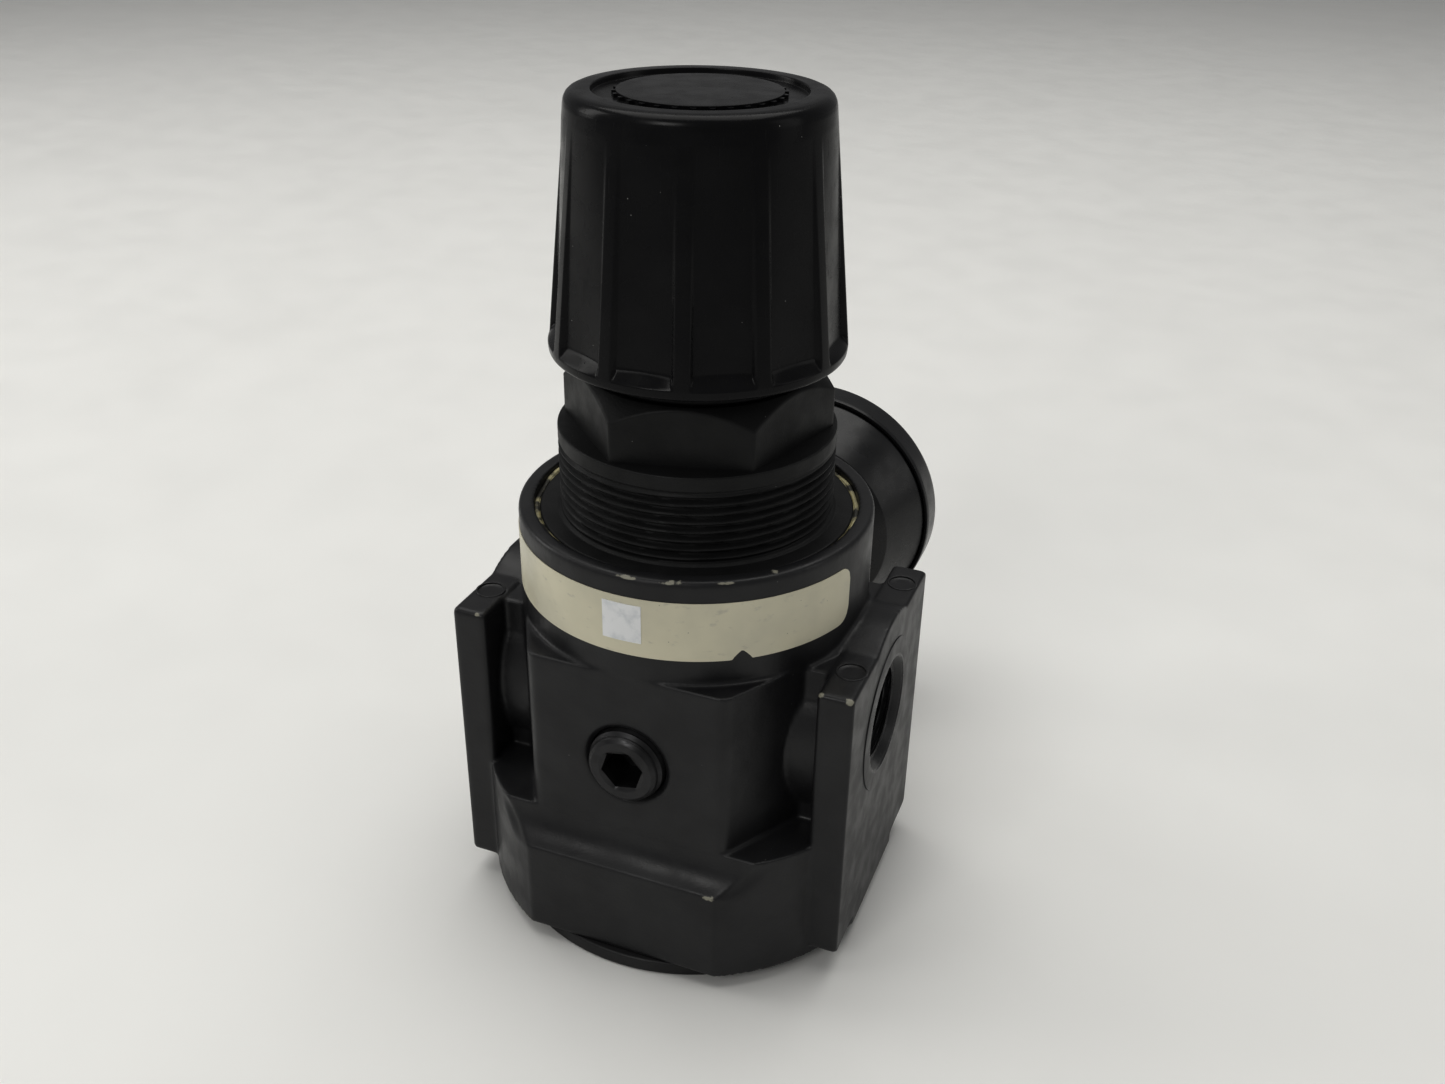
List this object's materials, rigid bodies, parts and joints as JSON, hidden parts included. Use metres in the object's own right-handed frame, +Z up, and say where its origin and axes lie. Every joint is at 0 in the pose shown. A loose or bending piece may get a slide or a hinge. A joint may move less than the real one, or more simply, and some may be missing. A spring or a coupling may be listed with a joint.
{
  "type": "air pressure regulator",
  "caption": "Modular air pressure regulator with a push-to-lock knob, panel-mounting bonnet, flanged ports, a plugged gauge port and a dial gauge behind.",
  "frame": {"origin": "on the regulator's axis, in the plane of the bottom cap's face", "axes": "+Z up along the knob's axis, -X the inlet, +X the outlet, -Y the face with the plugged gauge port, +Y towards the gauge"},
  "size_m": [0.0698, 0.1052, 0.1386],
  "materials": {
    "cast_paint": "black satin paint on a die casting",
    "cap_nylon": "black moulded nylon",
    "bonnet_nylon": "black glass-filled nylon, finely textured",
    "knob_plastic": "black moulded plastic, satin gloss",
    "seal_rubber": "nitrile rubber",
    "gasket": "pale gasket compound",
    "brass": "machined brass",
    "plate_aluminium": "turned aluminium",
    "spring_steel": "plain spring wire",
    "plated_steel": "zinc-plated steel",
    "black_steel": "black oxide steel",
    "label_film": "cream label film, blank",
    "sticker_paper": "white paper sticker, blank",
    "gauge_paint": "black paint on pressed steel",
    "lens": "clear acrylic",
    "dial_paint": "white painted dial",
    "pointer_paint": "black painted pointer"
  },
  "bodies": {
    "housing": {"body": "cast_paint", "bottom_cap": "cap_nylon", "cap_o_ring": "seal_rubber", "stem_o_ring": "seal_rubber", "valve_seat": "brass", "valve_spring": "spring_steel", "aspirator_tube": "brass", "bonnet_gasket": "gasket", "bonnet_seal": "gasket", "bonnet": "bonnet_nylon", "thrust_washer": "plated_steel", "screw_clip": "spring_steel", "gauge_port_plug": "black_steel", "label": "label_film", "label_sticker": "sticker_paper", "gauge_case": "gauge_paint", "gauge_bezel": "gauge_paint", "gauge_lens_gasket": "seal_rubber", "gauge_lens": "lens", "gauge_dial": "dial_paint", "gauge_socket": "brass", "bourdon_tube": "brass", "tube_tip_post": "brass", "tube_link": "plated_steel", "movement_rear_plate": "brass", "movement_front_plate": "brass", "movement_posts": "brass", "dial_studs": "brass"},
    "screw": {"adjusting_screw": "plated_steel"},
    "knob": {"knob": "knob_plastic", "knob_cap": "knob_plastic", "knob_lock_ring": "seal_rubber"},
    "nut": {"spring_nut": "brass"},
    "diaphragm_group": {"diaphragm": "seal_rubber", "diaphragm_lower_plate": "plate_aluminium", "diaphragm_upper_plate": "plate_aluminium", "main_spring": "spring_steel"},
    "valve": {"valve_stem": "brass", "valve_seal": "seal_rubber"},
    "sector": {"sector_gear": "brass"},
    "pointer": {"pinion_arbor": "brass", "gauge_pointer": "pointer_paint"}
  },
  "joints": [
    {"name": "screw_turn", "type": "hinge", "parent": "housing", "child": "screw", "pos_m": [0, 0, 0.1], "axis": [0, 0, -1], "range_deg": [0, 1800]},
    {"name": "knob_lock", "type": "slide", "parent": "screw", "child": "knob", "axis": [0, 0, -1], "range_m": [0, 0.0025]},
    {"name": "nut_travel", "type": "slide", "parent": "housing", "child": "nut", "axis": [0, 0, -1], "range_m": [0, 0.0076], "deforming": ["main_spring"]},
    {"name": "diaphragm_drop", "type": "slide", "parent": "housing", "child": "diaphragm_group", "axis": [0, 0, -1], "range_m": [0, 0.0012], "stiffness_N_per_m": 2500, "springref_m": -0.002, "deforming": ["diaphragm"]},
    {"name": "valve_open", "type": "slide", "parent": "housing", "child": "valve", "axis": [0, 0, -1], "range_m": [0, 0.0012], "deforming": ["valve_spring"]},
    {"name": "sector_turn", "type": "hinge", "parent": "housing", "child": "sector", "pos_m": [0, 0.0606, 0.0306], "axis": [0, 1, 0], "range_deg": [0, 33.75], "stiffness_Nm_per_rad": 0.002, "springref_deg": -11.46},
    {"name": "pointer_turn", "type": "hinge", "parent": "housing", "child": "pointer", "pos_m": [0, 0.0606, 0.0414], "axis": [0, 1, 0], "range_deg": [-271, 0]}
  ],
  "couplings": [
    {"joint": "nut_travel", "follows": "screw_turn", "m_per_rad": 0.00023873},
    {"joint": "valve_open", "follows": "diaphragm_drop", "ratio": 1},
    {"joint": "pointer_turn", "follows": "sector_turn", "ratio": -8}
  ]
}
